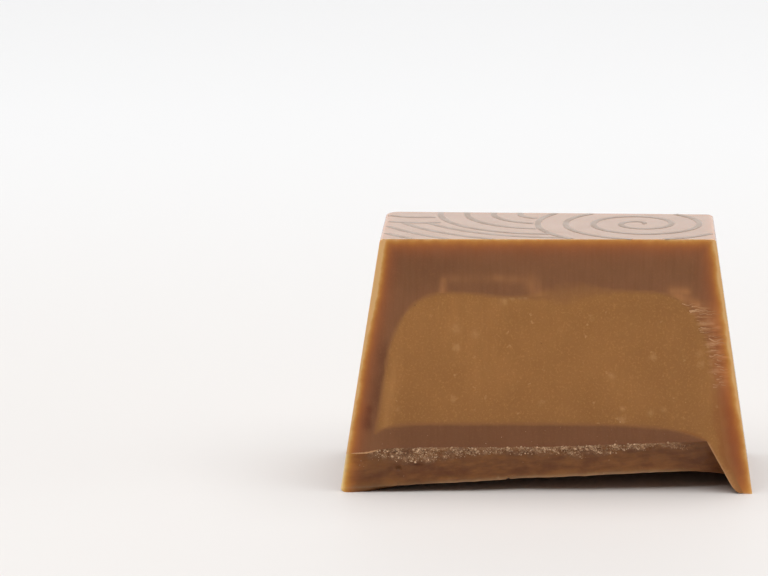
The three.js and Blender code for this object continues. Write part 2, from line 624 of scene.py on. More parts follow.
def makeCut():
    look = cutLook
    material, shader = newMaterial("cut chocolate")
    place = objectPlace()
    clouds = addPatches(place, *look["clouds"])
    colour = blend(clouds, "cutShell", "cutDeep")
    colour = tint(colour, addMark("shade"), "cutShade")
    colour = addMix(addMark("smear"), colour, wallColour())
    colour = tint(colour, addMark("blend"), "paste")
    streaks = addNoise(objectPlace(look["stretch"]), *look["streaks"])
    colour = tint(colour, addRange(streaks, *look["streakTone"]), "cutShade")
    grain = addNoise(place, *look["grain"])
    colour = tint(colour, addRange(grain, *look["grainTone"]), "wallPale")
    colour = addStutter(colour)
    # painted glow where light comes through the thin outer edge of the cut
    near = sideDistances()
    strip = addRange(near["floor"], *look["leftGlowStrip"])
    left = times(addMath("SUBTRACT", near["left"], strip), look["leftFall"])
    right = addMath("ADD", near["right"], addRange(near["floor"], *look["rightShift"]))
    top = addMath("ADD", near["top"], look["topShift"])
    nearest = addMath("SMOOTH_MIN", addMath("MINIMUM", left, right), top, look["corner"])
    nearest = addMath("ADD", nearest, addPatches(place, *look["wander"]))
    nearest = addMath("MAXIMUM", nearest, look["nearest"])
    colour = tint(colour, addFade(nearest, *look["glowTint"]), "cutEdgeGlow")
    colour = edgeGlow(colour, nearest)
    colour = edgeGlow(colour, near["floor"], look["floorGlow"])
    dress(shader, look, colour, addRange(streaks, *look["rough"]), streaks, grain)
    return material


pasteLook = {
    "clouds": [(3.4, 4.0, 0.6), (0.3, 0.7)],
    "darkLow": (4.5 * mm, 8.5 * mm, 0.5, 0.0),
    "darkRight": (3 * mm, 8 * mm, 0.0, 0.3),
    "notFilm": (9.5 * mm, 11.5 * mm, 1.0, 0.0),
    "stretch": (1, 1, 9),
    "streaks": (0.3, 3.0, 0.6),
    "streakTone": (0.35, 0.75, 0.0, 0.55),
    "grain": (0.15, 3.0, 0.75),
    "grainTone": (0.48, 0.72, 0.0, 0.55),
    "swayScale": 4.0,  # lumps and specks are pushed out of round
    "sway": (0.5, 0.5, 0.5),
    "lumps": (1.9, 0.42, 0.5, 0.35),
    "specks": (0.75, 0.15, 0.4, 0.5),
    "pinholes": (1.5, 0.09, 0.35, 0.6),
    "pinholeShift": 77,
    "mottle": [(0.9, 3.0, 0.6), (0.35, 0.65)],
    "mottled": (1 * mm, 4.5 * mm, 0.3, 0.0),  # heights on the film
    # the painted glow at the film's thin lower end
    "thinEndGlow": (0.3 * mm, 2.6 * mm, 0.35, 0.0),
    "rough": (0.2, 0.8, 0.45, 0.65),
    "bump": (0.7, 0.25, 0.025 * mm),
    "lightIn": (0.15, 0.45 * mm, 0.35),
}


def makePaste():
    look = pasteLook
    material, shader = newMaterial("nut paste")
    place = objectPlace()
    x = axisPlace("X")
    z = axisPlace("Z")
    clouds = addPatches(place, *look["clouds"])
    colour = blend(clouds, "pasteDeep", "paste")
    # darker low down and on the right, but not on the film
    low = addRange(z, *look["darkLow"])
    deep = addMath("MAXIMUM", low, addRange(x, *look["darkRight"]))
    colour = tint(colour, times(deep, addRange(x, *look["notFilm"])), "pasteDark")
    colour = tint(colour, addMark("pale"), "pastePale")
    streaks = addNoise(objectPlace(look["stretch"]), *look["streaks"])
    colour = tint(colour, addRange(streaks, *look["streakTone"]), "pasteDeep")
    grain = addNoise(place, *look["grain"])
    colour = tint(colour, addRange(grain, *look["grainTone"]), "pastePale")
    # crushed nut: soft light lumps, fine specks, and a few dark pinholes
    sway = addNode("ShaderNodeTexNoise", {"Vector": place, "Scale": look["swayScale"]}).outputs["Color"]
    values = {0: sway, 1: look["sway"], 2: place}
    ragged = addNode("ShaderNodeVectorMath", values, operation="MULTIPLY_ADD").outputs["Vector"]
    for bits in ("lumps", "specks"):
        colour = tint(colour, addDots(ragged, *look[bits]), "speckAndGlow")
    colour = tint(colour, addMark("spot"), "speckAndGlow")
    pinholes = addDots(objectPlace(shift=look["pinholeShift"]), *look["pinholes"])
    colour = tint(colour, pinholes, "pinhole")
    # the film's foot is mottled with chocolate, and its thin end has a painted glow where light comes through
    toRight = addRange(addMark("right"), 0.0, 1.0)
    foot = times(addRange(z, *look["mottled"]), toRight)
    colour = tint(colour, times(addPatches(place, *look["mottle"]), foot), "wallRed")
    colour = tint(colour, times(addRange(z, *look["thinEndGlow"]), toRight), "speckAndGlow")
    chocolate = addMix(toRight, finishes["cutShell"], wallColour())
    colour = addMix(addMark("blend"), colour, chocolate)
    colour = addStutter(colour)
    # a painted highlight along the film's free edge
    colour = tint(colour, addMark("edge"), "strokeAndHighlight")
    dress(shader, look, colour, addRange(grain, *look["rough"]), streaks, grain)
    return material


tornLook = {
    "flowStretch": (4, 4, 1),
    "flowSlant": -5,
    "flow": (0.4, 4.0, 0.65),
    "patches": (2.6, 3.0, 0.6),
    "share": 0.5,  # of flow and patches alike
    "tone": (0.39, 0.61),
    "darkFrom": (-13 * mm, -11.6 * mm, 0.0, 0.3),  # a stretch on the left
    "darkTo": (-9.6 * mm, -7.6 * mm, 1.0, 0.0),
    "darkRight": (8.4 * mm, 11.2 * mm, 0.0, 0.4),  # painted shade next to the film, in the corner's recess
    "grain": (0.16, 3.0, 0.75),
    # painted shade in the pits
    "pits": (0.38, 0.5, 0.5, 0.0),
    "grainTone": (0.5, 0.66, 0.0, 0.42),
    "clumps": [(0.7, 4.0, 0.65), (0.4, 0.6, 0.04, 0.22)],
    # a painted shadow line under the grainy strip
    "shadowLineFrom": (0.0, 0.25),
    "shadowLineTo": (0.3, 0.6, 1.0, 0.0),
    "shadowLineTone": 0.25,
    "nearest": 0.05,
    # the painted glow at the ends and along the lower edge
    "end": (0.8, 0.8),
    "endGlow": 1.2,
    "lowGlow": 0.11,
    "litEdge": (0.08, 1.0),  # painted highlight where the lower edge catches the light, but not on the left
    "litRange": (-9 * mm, -6 * mm, 0.0, 0.3),
    "rough": (0.2, 0.8, 0.45, 0.7),
    "bump": (2.0, 0.3, 0.03 * mm),
    "lightIn": (0.15, 0.35 * mm, 0.35),
}


def makeTorn():
    look = tornLook
    material, shader = newMaterial("torn chocolate")
    place = objectPlace()
    x = axisPlace("X")
    flow = addNoise(objectPlace(look["flowStretch"], slant=look["flowSlant"]), *look["flow"])
    patches = times(addNoise(place, *look["patches"]), look["share"])
    tone = addRange(addMath("MULTIPLY_ADD", flow, look["share"], patches), *look["tone"])
    colour = blend(tone, "tornDeep", "torn")
    # darker on a stretch on the left; painted shade next to the film and in the dents
    dark = times(addRange(x, *look["darkFrom"]), addRange(x, *look["darkTo"]))
    dark = addMath("MAXIMUM", dark, addRange(x, *look["darkRight"]))
    colour = tint(colour, addMath("MAXIMUM", dark, addMark("dentShade")), "tornShadeDark")
    # the grainy strip: pale grains, painted shade in the pits between them, and a painted shadow line under
    # it
    grain = addNoise(place, *look["grain"])
    grainy = addMark("grainy")
    colour = tint(colour, times(addRange(grain, *look["pits"]), grainy), "tornShadeDark")
    clumps = addPatches(place, *look["clumps"])
    pale = addMath("ADD", addRange(grain, *look["grainTone"]), clumps)
    colour = tint(colour, times(pale, grainy), "tornPaleAndLit")
    under = times(addRange(grainy, *look["shadowLineFrom"]), addRange(grainy, *look["shadowLineTo"]))
    colour = tint(colour, times(under, look["shadowLineTone"]), "tornShadeDark")
    # painted glow where light comes through its ends and its lower edge
    near = sideDistances()
    sideways = addMath("MINIMUM", near["left"], near["right"])
    sideways = addMath("MAXIMUM", sideways, look["nearest"])
    colour = tint(colour, addFade(sideways, *look["end"]), "tornEndGlow")
    colour = edgeGlow(colour, sideways, look["endGlow"])
    thick = addMark("thick")
    colour = edgeGlow(colour, thick, look["lowGlow"])
    # painted highlight along the lower edge
    lit = times(addFade(thick, *look["litEdge"]), addRange(x, *look["litRange"]))
    colour = tint(colour, lit, "tornPaleAndLit")
    dress(shader, look, colour, addRange(grain, *look["rough"]), flow, grain)
    return material


# the small pieces: how worn each is, and how rough
crumbLook = {"grain": (0.06, 2.0, 0.6), "worn": (0.4, 0.7, 0.0, 0.4), "rough": (0.2, 0.8, 0.3, 0.5)}
strokeLook = {"worn": [(0.2, 3.0, 0.6), (0.3, 0.8, 0.0, 0.6)], "rough": (0.0, 1.0, 0.35, 0.55)}
printLook = {
    "worn": [(0.3, 3.0, 0.6), (0.35, 0.8, 0.0, 0.35)],
    "rough": [(1.2, 2.0, 0.5), (0.3, 0.7, 0.28, 0.36)],
}


def makeCrumb():
    material, shader = newMaterial("chocolate crumb")
    colour = blend(addMark("tone"), "torn", "crumbPale")
    grain = addNoise(objectPlace(), *crumbLook["grain"])
    colour = tint(colour, addRange(grain, *crumbLook["worn"]), "torn")
    paint(shader, colour, addRange(grain, *crumbLook["rough"]))
    return material


def makeStroke():
    material, shader = newMaterial("scraped chocolate")
    worn = addPatches(objectPlace(), *strokeLook["worn"])
    worn = addMath("MAXIMUM", worn, addMark("fade"))
    colour = blend(worn, "strokeAndHighlight", "wallPale")
    paint(shader, colour, addRange(worn, *strokeLook["rough"]))
    return material


def makePrint():
    material, shader = newMaterial("printed cocoa butter")
    place = objectPlace()
    colour = blend(addPatches(place, *printLook["worn"]), "print", "moulded")
    paint(shader, colour, addPatches(place, *printLook["rough"]))
    return material


mouldedChocolate = makeMoulded()
cutChocolate = makeCut()
nutPaste = makePaste()
tornChocolate = makeTorn()
crumbChocolate = makeCrumb()
scrapedLine = makeStroke()
printedLine = makePrint()
mouldedSlot, cutSlot, tornSlot = 0, 1, 2
chocolates = [mouldedChocolate, cutChocolate, tornChocolate]

print("materials made")


# solids that the pieces are carved from

def makeMouldedBlock():
    half = mould["depth"] / 2
    low = (-halfLength, middleY - half, 0)
    block = addBlock("praline_shell", low, (halfLength, middleY + half, mould["height"]))
    shrink = [1 - mould["height"] * mould["draft"] / size for size in (halfLength, half)]
    editOn(block)
    pick(block, "FACE", isTop)
    bpy.ops.transform.resize(value=(*shrink, 1), center_override=(0, middleY, mould["height"]))
    roundEdges(block, lambda edge: isUpright(edge) and isBackLeft(edge), *mould["wornUpright"])
    roundEdges(block, lambda edge: isUpright(edge) and not isBackLeft(edge), *mould["upright"])
    roundEdges(block, lambda edge: sum(map(isTop, edge.link_faces)) == 1, *mould["topEdge"])
    roundEdges(block, isLowLeft, *mould["wornCorner"])
    editOff()
    cutAway(block, cutPoint, cutNormal)
    return block


def divideTop(block, low, high):
    # cuts the flat top into narrow strips that can follow a curve
    setSlots(block, chocolates, isTop)
    divideSlot(block, cutSlot, 0, low, high, inside["profileStep"])
    setSlots(block, chocolates, lambda face: mouldedSlot)


def makeInnerBlock():
    low = inside["rimHeight"]
    middle = inside["middle"]
    size = (insideX(low), insideDepth(low))
    corner = (middle - size[0], middleY - size[1], low)
    block = addBlock("inner", corner, (middle + size[0], middleY + size[1], shoulder))
    narrowed = (insideX(shoulder) / size[0], insideDepth(shoulder) / size[1], 1)
    flared = (insideX(-over) / size[0], insideDepth(-over) / size[1], 1)
    editOn(block)
    pick(block, "FACE", isTop)
    bpy.ops.transform.resize(value=narrowed, center_override=(middle, middleY, shoulder))
    pick(block, "FACE", isBottom)
    bpy.ops.mesh.extrude_region_move(TRANSFORM_OT_translate={"value": (0, 0, -over - low)})
    bpy.ops.transform.resize(value=flared, center_override=(middle, middleY, -over))
    roundEdges(block, isUpright, *inside["corner"])
    editOff()
    # the flat top becomes the dome
    divideTop(block, middle - insideX(shoulder), middle + insideX(shoulder))
    for vert in block.data.vertices:
        if vert.co.z > shoulder - hair:
            rise = max(domeZ(vert.co.x) - shoulder, 0)
            vert.co.z += rise
            vert.co.y -= math.copysign(rise * mould["draft"], vert.co.y - middleY)
    return block


def makeBaseMass():
    half = mould["depth"] / 2 + over
    low = (-halfLength - over, middleY - half, -over)
    mass = addBlock("base_mass", low, (notchX, middleY + half, closing["top"]))
    editOn(mass)
    pick(mass, "VERT", lambda vert: vert.co.x > 0 and vert.co.z < 0)
    bpy.ops.transform.translate(value=(baseEndX(-over) - notchX, 0, 0))
    editOff()
    # the flat top droops at both ends
    divideTop(mass, low[0], notchX)
    for vert in mass.data.vertices:
        if vert.co.z > 0:
            vert.co.z = baseTopZ(vert.co.x)
    return mass


# the break below the knife cut
torn = {
    "edgeLeft": 2.75 * mm,  # height of its upper edge
    "edgeRight": 3.72 * mm,
    "swell": 0.28 * mm,  # a stretch on the left lies higher
    "swellFrom": -12.6 * mm,
    "swellFull": -10.8 * mm,
    "swellTo": 1 * mm,
    "lowLeft": 0.24 * mm,  # height of its lower edge
    "lowRight": 1.57 * mm,
    "nick": (-3.3 * mm, 0.08 * mm, 0.12 * mm),  # place, width, height
    "lean": 0.78 * mm,  # how far behind the cut the lower edge lies at the right
    "step": (-2.15 * mm, 1.6 * mm, 0.25 * mm),  # it lies deeper here: place, width, depth
    "cornerDepth": 1.2 * mm,  # it runs back and down next to the film
    "cornerDrop": 0.75 * mm,
    "cornerLength": 1.3 * mm,
    "underLength": 14 * mm,  # the underside that broke away with it
    "underFrom": -14 * mm,
    "underTo": -6 * mm,
    "wornEnd": (0.45 * mm, 0.22 * mm),  # depth and length of the worn left end
    "wornBy": 0.3,  # share of the way down
    "bubble": (-10.33 * mm, 1.72 * mm, 0.2 * mm, 0.2 * mm),  # place, radius and depth
    "bubbleFall": 1.5,
    "bubbleRing": (1.3, 0.35, 0.35),  # place and width in radii, height as a share
    "dents": [((-12.9, 0.75), (-10.4, 1.75), 0.42, 0.6), ((-9.3, 1.95), (-8.7, 1.98), 0.1, 0.7)],
    "dentDepth": 0.1 * mm,
    "lipDepth": 0.16 * mm,
    "lipHeight": 0.3 * mm,
    "crags": [(1, 1.7, 0.9 * mm, 1.0), (1, 6.7, 0.9 * mm / 2.3, 0.5)],
    "cragDepth": 0.13 * mm,
    "grains": [(1, 4.2, 0.24 * mm, 1.0), (1, 8.4, 0.24 * mm / 2.1, 0.75)],
    "grainDepth": 0.11 * mm,
    "columns": 380 // coarse,
    "rows": 52 // coarse,
    "rowsDown": 0.85,  # share of the rows that lie on the torn face
    "rowsCurve": 1.4,  # they lie closer near the upper edge
    "from": -0.12,  # the torn face starts above its upper edge, as a share of its height
}
# the grainy strip along its upper edge, where an unevenness is a seed, a size and an amount
grainStrip = {
    "width": 0.62 * mm,
    "hangLeft": (-8.6 * mm, 2.9 * mm, 0.8 * mm),  # it hangs lower in two places
    "hangRight": (2.7 * mm, 2.2 * mm, 0.5 * mm),
    "narrow": (-13.4 * mm, -11.4 * mm),
    "narrowest": 0.1,
    "from": (-12.6 * mm, -11.6 * mm),
    "to": (7.6 * mm, 11 * mm),
    "hang": (2.1, 1.1 * mm, 0.5),
    "fray": (5.6, 0.35 * mm, 0.3 * mm),
    "patches": (3.9, 0.7 * mm),
    "patchRange": (-0.35, 0.1),
    "thinnest": 0.5,
    "solid": 0.3,  # share of its width
    "above": 0.12 * mm,
}
breakLeft = -halfLength - over


def alongBreak(run):
    return (run - breakLeft) / (baseEndX(torn["edgeRight"]) - breakLeft)


def breakEdge(run):
    # height of the break's upper edge
    rise = ramp(run, torn["swellFrom"], torn["swellFull"])
    rise *= 1 - ramp(run, torn["swellFull"], torn["swellTo"])
    return mix(torn["edgeLeft"], torn["edgeRight"], alongBreak(run)) + torn["swell"] * rise


def nearFilm(run):
    return math.exp((run - notchX) / torn["cornerLength"])


def breakLow(run):
    # height of the break's lower edge
    low = mix(torn["lowLeft"], torn["lowRight"], alongBreak(run)) + bell(run, *torn["nick"])
    return max(0, low - torn["cornerDrop"] * nearFilm(run))


def grainShare(run, down):
    strip = grainStrip
    width = strip["width"] + bell(run, *strip["hangLeft"]) + bell(run, *strip["hangRight"])
    width *= mix(strip["narrowest"], 1, ramp(run, *strip["narrow"]))
    width *= 1 + roughness(run, 0, *strip["hang"])
    ends = ramp(run, *strip["from"]) * (1 - ramp(run, *strip["to"]))
    patchy = ramp(roughness(run, down, *strip["patches"]), *strip["patchRange"])
    ragged = down + roughness(run, down, *strip["fray"])
    share = ends * mix(strip["thinnest"], 1, patchy)
    return share * (1 - ramp(ragged, strip["solid"] * width, width)) * ramp(down, -strip["above"], 0)


# how ragged drawn-out marks are
markFray = [(1.6, 3.3, 0.5 * mm, 0.5), (1, 8.1, 1.4 * mm, 0.4)]


def toLine(x, z, start, end):
    along = Vector(end) - Vector(start)
    offset = Vector((x, z)) - Vector(start)
    share = min(max(offset.dot(along) / along.dot(along), 0), 1)
    return (offset - along * share).length


def drawnOut(lines, x, z):
    # marks in millimetres: from, to, width and strength
    spread = [(toLine(x / mm, z / mm, start, end) / width, much) for start, end, width, much in lines]
    return (1 + layered(x, z, markFray)) * max(much * math.exp(-away * away) for away, much in spread)


def dentAt(x, z):
    return drawnOut(torn["dents"], x, z)


def bubbleAt(x, z):
    # a small hollow with a raised ring round it
    placeX, placeZ, radius, depth = torn["bubble"]
    off = math.hypot(x - placeX, z - placeZ) / radius
    return depth * (math.exp(-torn["bubbleFall"] * off * off) - bell(off, *torn["bubbleRing"]))


def tornPoint(across, share):
    # shares 0 to 1 run down the torn face, and 1 to 2 back under the base
    run = mix(breakLeft, baseEndX(torn["edgeRight"]), across)
    edgeZ = breakEdge(run)
    reach = torn["lean"] * across + bell(run, *torn["step"])
    reach += torn["cornerDepth"] * nearFilm(run)
    depth, length = torn["wornEnd"]
    worn = depth * math.exp(-max(run + halfLength, 0) / length)
    down = min(share, 1)
    back = max(share - 1, 0)
    slide = down * (edgeZ - breakLow(run))
    grainy = grainShare(run, slide)
    deep = torn["lipDepth"] + torn["cragDepth"] * layered(run, slide, torn["crags"])
    deep += torn["grainDepth"] * layered(run, slide, torn["grains"]) * grainy
    deep *= min(slide / torn["lipHeight"], 1)
    deep += bubbleAt(run, edgeZ - slide) + torn["dentDepth"] * dentAt(run, edgeZ - slide)
    under = torn["underLength"] * ramp(run, torn["underFrom"], torn["underTo"])
    z = mix(edgeZ - slide, -over, back)
    y = cutY(run) + reach * down + deep + under * back + worn * ramp(share, 0, torn["wornBy"])
    return Vector((mix(breakLeft, baseEndX(z), across), y, z)), grainy


def makeBrokenOff():
    bpy.ops.object.select_all(action="DESELECT")
    bpy.ops.mesh.primitive_grid_add(x_subdivisions=torn["columns"], y_subdivisions=torn["rows"], size=2)
    gone = bpy.context.object
    rowsDown = torn["rowsDown"]
    for vert in gone.data.vertices:
        across = (vert.co.x + 1) / 2
        row = (1 - vert.co.y) / 2
        if row < rowsDown:
            share = mix(torn["from"], 1, (row / rowsDown) ** torn["rowsCurve"])
        else:
            share = 1 + (row - rowsDown) / (1 - rowsDown)
        vert.co = tornPoint(across, share)[0]
    editOn(gone)
    bpy.ops.mesh.select_all(action="SELECT")
    bpy.ops.mesh.extrude_region_move(TRANSFORM_OT_translate={"value": (0, -mould["depth"], 0)})
    bpy.ops.mesh.select_all(action="SELECT")
    bpy.ops.mesh.normals_make_consistent(inside=False)
    editOff()
    setSlots(gone, chocolates, lambda face: tornSlot)
    return gone


innerBlock = makeInnerBlock()
baseMass = makeBaseMass()
brokenOff = makeBrokenOff()
innerHalf = copyOf(innerBlock, "inner_half")
cutAway(innerHalf, cutPoint, cutNormal)

print("carving solids made")


# the cut face's relief, and the marks that the knife left on it

cutFace = {
    "grid": 0.125 * mm * coarse,
    "flat": 0.001 * mm,  # points this close to the knife's plane lie on the cut
    # streaks, swells and grain: stretch, seed, size and depth
    "relief": [
        (16, 0.4, 0.3 * mm, 0.008 * mm),
        (1, 1.9, 3.3 * mm, 0.03 * mm),
        (1, 2.6, 0.26 * mm, 0.006 * mm),
    ],
    "chips": [(1, 0.2, 0.5 * mm, 0.03 * mm), (1, 0.2, 0.2 * mm, 0.03 * mm)],
    "chipsFrom": 0.1 * mm,
    "pitCell": 1.3 * mm,
    "pitDraw": 7.3,
    "pitless": 0.55,  # share of the cells
    "pitRadius": 0.1 * mm,
    "pitFloor": 0.03 * mm,
    "pitDepth": 0.06 * mm,
}
smears = [
    ((-7.15, 13.9), (-7.05, 14.9), 0.24, 0.85),
    ((-7.0, 15.05), (-3.5, 15.1), 0.3, 0.25),
    ((-3.5, 15.1), (-1.0, 14.95), 0.3, 0.38),
    ((-1.1, 14.8), (-0.6, 13.9), 0.52, 0.62),
    ((8.5, 14.2), (9.5, 14.15), 0.34, 0.8),
    ((8.8, 13.85), (10.2, 13.2), 0.42, 1.0),
]
# darker places on the left wall and in the roof above it
shades = [
    ((-11.85, 5.4), (-11.1, 10.2), 0.5, 0.5),
    ((-12.25, 4.75), (-12.1, 5.9), 0.4, 0.8),
    ((-10.6, 16.2), (-7.6, 15.8), 1.5, 0.22),
]
# larger bits of nut in the filling: place, radius and strength
nutBits = [
    ((-2.4, 13.75), 0.16, 0.8),
    ((-1.9, 13.8), 0.13, 0.7),
    ((-1.5, 13.82), 0.15, 0.9),
    ((-2.95, 13.5), 0.25, 0.35),
    ((-6.2, 11.6), 0.3, 0.3),
    ((-4.9, 11.2), 0.28, 0.25),
    ((5.2, 6.0), 0.15, 0.45),
    ((7.1, 5.7), 0.2, 0.3),
    ((8.0, 5.95), 0.16, 0.35),
    ((4.4, 8.3), 0.22, 0.35),
]
nutFray = (9.3, 0.2 * mm, 0.9)
# the right wall differs from the rest of the shell
rightWall = {
    "starts": 0.1 * mm,  # inside the filling's edge
    "rim": (0.1 * mm, 0.75 * mm),
    "ends": (12.5 * mm, 13.9 * mm),
    "strength": 0.78,
    "fray": (5.9, 0.6 * mm, 0.3),
    "low": (1.5 * mm, 4 * mm),
    "lowShare": 0.7,
}
# how soft the filling's outline is, in millimetres
outline = {
    "width": 0.09,
    "softTop": (1.5, 2.1, 0.4),  # place, width, how much
    "topHeight": (10 * mm, 12 * mm),
    "softWall": (0.25, 0.1),  # on the right, below and above
    "fray": (7.7, 0.5 * mm, 0.5),
    "slopeStep": 0.05 * mm,
}
baseShade = {"strength": 0.3, "range": (-12.5 * mm, -9 * mm)}
# the pale strip's place and width in millimetres, and its strength
paleSide = {"strip": (0.65, 0.4, 0.45), "ends": (7.5 * mm, 11 * mm)}
stutter = {  # from the filling's right edge in millimetres, and heights
    "starts": (-0.5, 0.1),
    "ends": (0.9, 1.6),
    "from": (7 * mm, 9 * mm),
    "to": (12.8 * mm, 13.6 * mm),
}
# the painted highlight on the film's free edge
filmEdgeHighlight = {"strip": (0, 0.09, 0.7), "end": 0.3 * mm}
filmFrom = (8 * mm, 10 * mm)


def isOnCut(place):
    return abs((place - cutPoint).dot(cutNormal)) < cutFace["flat"]


def boundaryX(z):
    # the filling's right edge on the cut
    if z < shoulder:
        return inside["middle"] + insideX(z)
    fall = max((inside["domeHeight"] - z) / inside["shoulderDrop"], 0)
    return inside["middle"] + inside["domeHalfSpan"] * fall ** (1 / inside["shoulderPower"])


def smearAt(x, z):
    wall = 0
    if x > boundaryX(z) - rightWall["starts"]:
        wall = ramp(outsideX(z) - x, *rightWall["rim"]) * (1 - ramp(z, *rightWall["ends"]))
        wall *= rightWall["strength"] * (1 + roughness(x, z, *rightWall["fray"]))
        wall *= mix(rightWall["lowShare"], 1, ramp(z, *rightWall["low"]))
    return min(max(wall, drawnOut(smears, x, z)), 1)


def shadeAt(x, z):
    return drawnOut(shades, x, z)


def baseShadeAt(x, z):
    # the base is a little darker than the shell, but runs into it on the left
    return baseShade["strength"] * ramp(x, *baseShade["range"])


def blendAt(x, z):
    # half and half on the filling's outline, and less away from it
    step = outline["slopeStep"]
    slope = (domeZ(x + step) - domeZ(x - step)) / (2 * step)
    toRoof = max((domeZ(x) - z) / math.hypot(1, slope), shoulder - z)
    toBase = max(z - baseTopZ(x), x - baseEndX(z))
    toWall = insideX(z) - abs(x - inside["middle"])
    width = outline["width"] + bell(x / mm, *outline["softTop"]) * ramp(z, *outline["topHeight"])
    if toWall < min(toRoof, toBase) and x > 0:
        width += mix(*outline["softWall"], ramp(z, *wallChange))
    away = abs(min(toRoof, toBase, toWall)) / mm / width + roughness(x, z, *outline["fray"])
    return 0.5 - 0.5 * ramp(away, 0, 2)


def paleAt(x, z):
    # the filling is lighter along its left side and low down there
    left = (x - inside["middle"] + insideX(z)) / mm
    return bell(left, *paleSide["strip"]) * (1 - ramp(z, *paleSide["ends"]))


def spotAt(x, z):
    near = [(math.dist((x / mm, z / mm), place) / radius, much) for place, radius, much in nutBits]
    return (1 + roughness(x, z, *nutFray)) * max(much * math.exp(-away * away) for away, much in near)


def rightAt(x, z):
    return ramp(x, *filmFrom)


def stutterAt(x, z):
    # along the filling's right edge
    off = (x - boundaryX(z)) / mm
    near = ramp(off, *stutter["starts"]) * (1 - ramp(off, *stutter["ends"]))
    return near * ramp(z, *stutter["from"]) * (1 - ramp(z, *stutter["to"]))


def filmEdgeHighlightAt(x, z):
    # painted highlight where the film's free edge catches the light
    off = (x - baseEndX(z)) / mm
    return bell(off, *filmEdgeHighlight["strip"]) * (1 - ramp(z, notchZ - filmEdgeHighlight["end"], notchZ))


def pitAt(x, z):
    distances, centres = noise.voronoi(Vector((x, z, 0)) / cutFace["pitCell"])
    if noise.cell(centres[0] * cutFace["pitDraw"]) < cutFace["pitless"]:
        return 0
    return 1 - ramp(distances[0] * cutFace["pitCell"], cutFace["pitFloor"], cutFace["pitRadius"])


def reliefAt(x, z):
    return layered(x, z, cutFace["relief"])


def onCut(x, z):
    return Vector((x, cutY(x), z)) - cutNormal * reliefAt(x, z)


def gridCut(piece):
    divideSlot(piece, cutSlot, 0, -halfLength, halfLength, cutFace["grid"])
    divideSlot(piece, cutSlot, 2, 0, mould["height"], cutFace["grid"])


def markCut(piece, marks, pitted=False):
    places = [vert.co.copy() for vert in piece.data.vertices]
    flags = [isOnCut(place) for place in places]
    for name, markAt in marks.items():
        storeMark(piece, name, [flag and markAt(place.x, place.z) for place, flag in zip(places, flags)])
    for vert, place, flag in zip(piece.data.vertices, places, flags):
        if flag:
            deep = reliefAt(place.x, place.z)
            if pitted:
                deep += cutFace["pitDepth"] * pitAt(place.x, place.z)
            vert.co = place - cutNormal * deep


def markTorn(piece):
    # where the torn face is dented, for painted shade, and grainy, and how far it is from its lower edge
    marks = {"dentShade": 0.0, "grainy": 0.0, "thick": 1.0}
    marks = {name: [value] * len(piece.data.vertices) for name, value in marks.items()}
    for face in piece.data.polygons:
        if face.material_index == tornSlot:
            for index in face.vertices:
                place = piece.data.vertices[index].co
                marks["dentShade"][index] = dentAt(place.x, place.z)
                marks["grainy"][index] = grainShare(place.x, breakEdge(place.x) - place.z)
                marks["thick"][index] = abs(place.z - breakLow(place.x)) / mm
    for name, values in marks.items():
        storeMark(piece, name, values)


def cutFacing(least):
    return lambda face: cutSlot if face.normal.dot(cutNormal) > least else mouldedSlot


# the shell

wornEdges = {
    "bevel": (0.3 * mm, 3),  # width and segments
    "left": 1.0,  # as shares of the width
    "right": 0.4,
    "top": 0.25,
    "topSlope": (0.2, 0.95),  # between upright and level
    "underside": -0.5,  # faces that look down keep a sharp edge
}


def wearCutEdges(shell):
    weights = shell.data.attributes.new("bevel_weight_edge", "FLOAT", "EDGE")
    shape = bmesh.new()
    shape.from_mesh(shell.data)
    for edge in shape.edges:
        facing = [face.normal.dot(cutNormal) > 0.99 for face in edge.link_faces]
        if sum(facing) == 1:
            other = edge.link_faces[facing.index(False)].normal
            if other.z > wornEdges["underside"]:
                side = wornEdges["left"] if other.x < 0 else wornEdges["right"]
                level = ramp(other.z, *wornEdges["topSlope"])
                weights.data[edge.index].value = mix(side, wornEdges["top"], level)
    shape.free()
    width, segments = wornEdges["bevel"]
    modify(shell, "BEVEL", limit_method="WEIGHT", width=width, segments=segments)


def chipCutEdges(shell):
    # the outer line of the cut is a little ragged
    rim = set()
    for face in shell.data.polygons:
        if face.material_index == cutSlot:
            rim.update(face.vertices)
    for index in rim:
        vert = shell.data.vertices[index]
        if not isOnCut(vert.co) and vert.co.z > cutFace["chipsFrom"]:
            vert.co.y += layered(vert.co.x, vert.co.z, cutFace["chips"])


def makeShell():
    shell = makeMouldedBlock()
    wearCutEdges(shell)
    setSlots(shell, chocolates, cutFacing(0.1))  # with its worn edges
    carve(shell, innerBlock, "DIFFERENCE")
    carve(shell, brokenOff, "DIFFERENCE")
    gridCut(shell)
    chipCutEdges(shell)
    markCut(shell, {"blend": blendAt, "smear": smearAt, "shade": shadeAt, "stutter": stutterAt})
    markTorn(shell)
    closeUp(shell)
    putIn(shell, "shell")


def dropFilmFoot(filling):
    # the film's lower end falls off towards the wall
    footX, footZ = closing["filmFoot"]
    for vert in filling.data.vertices:
        if vert.co.x > footX and vert.co.z < footZ + closing["filmFootNear"]:
            past = vert.co.x - footX
            wallX = boundaryX(vert.co.z)
            lowered = max(vert.co.z - past * closing["filmFootFall"], closing["filmFootLeast"])
            vert.co.x += (boundaryX(lowered) - wallX) * past / (wallX - footX)
            vert.co.z = lowered


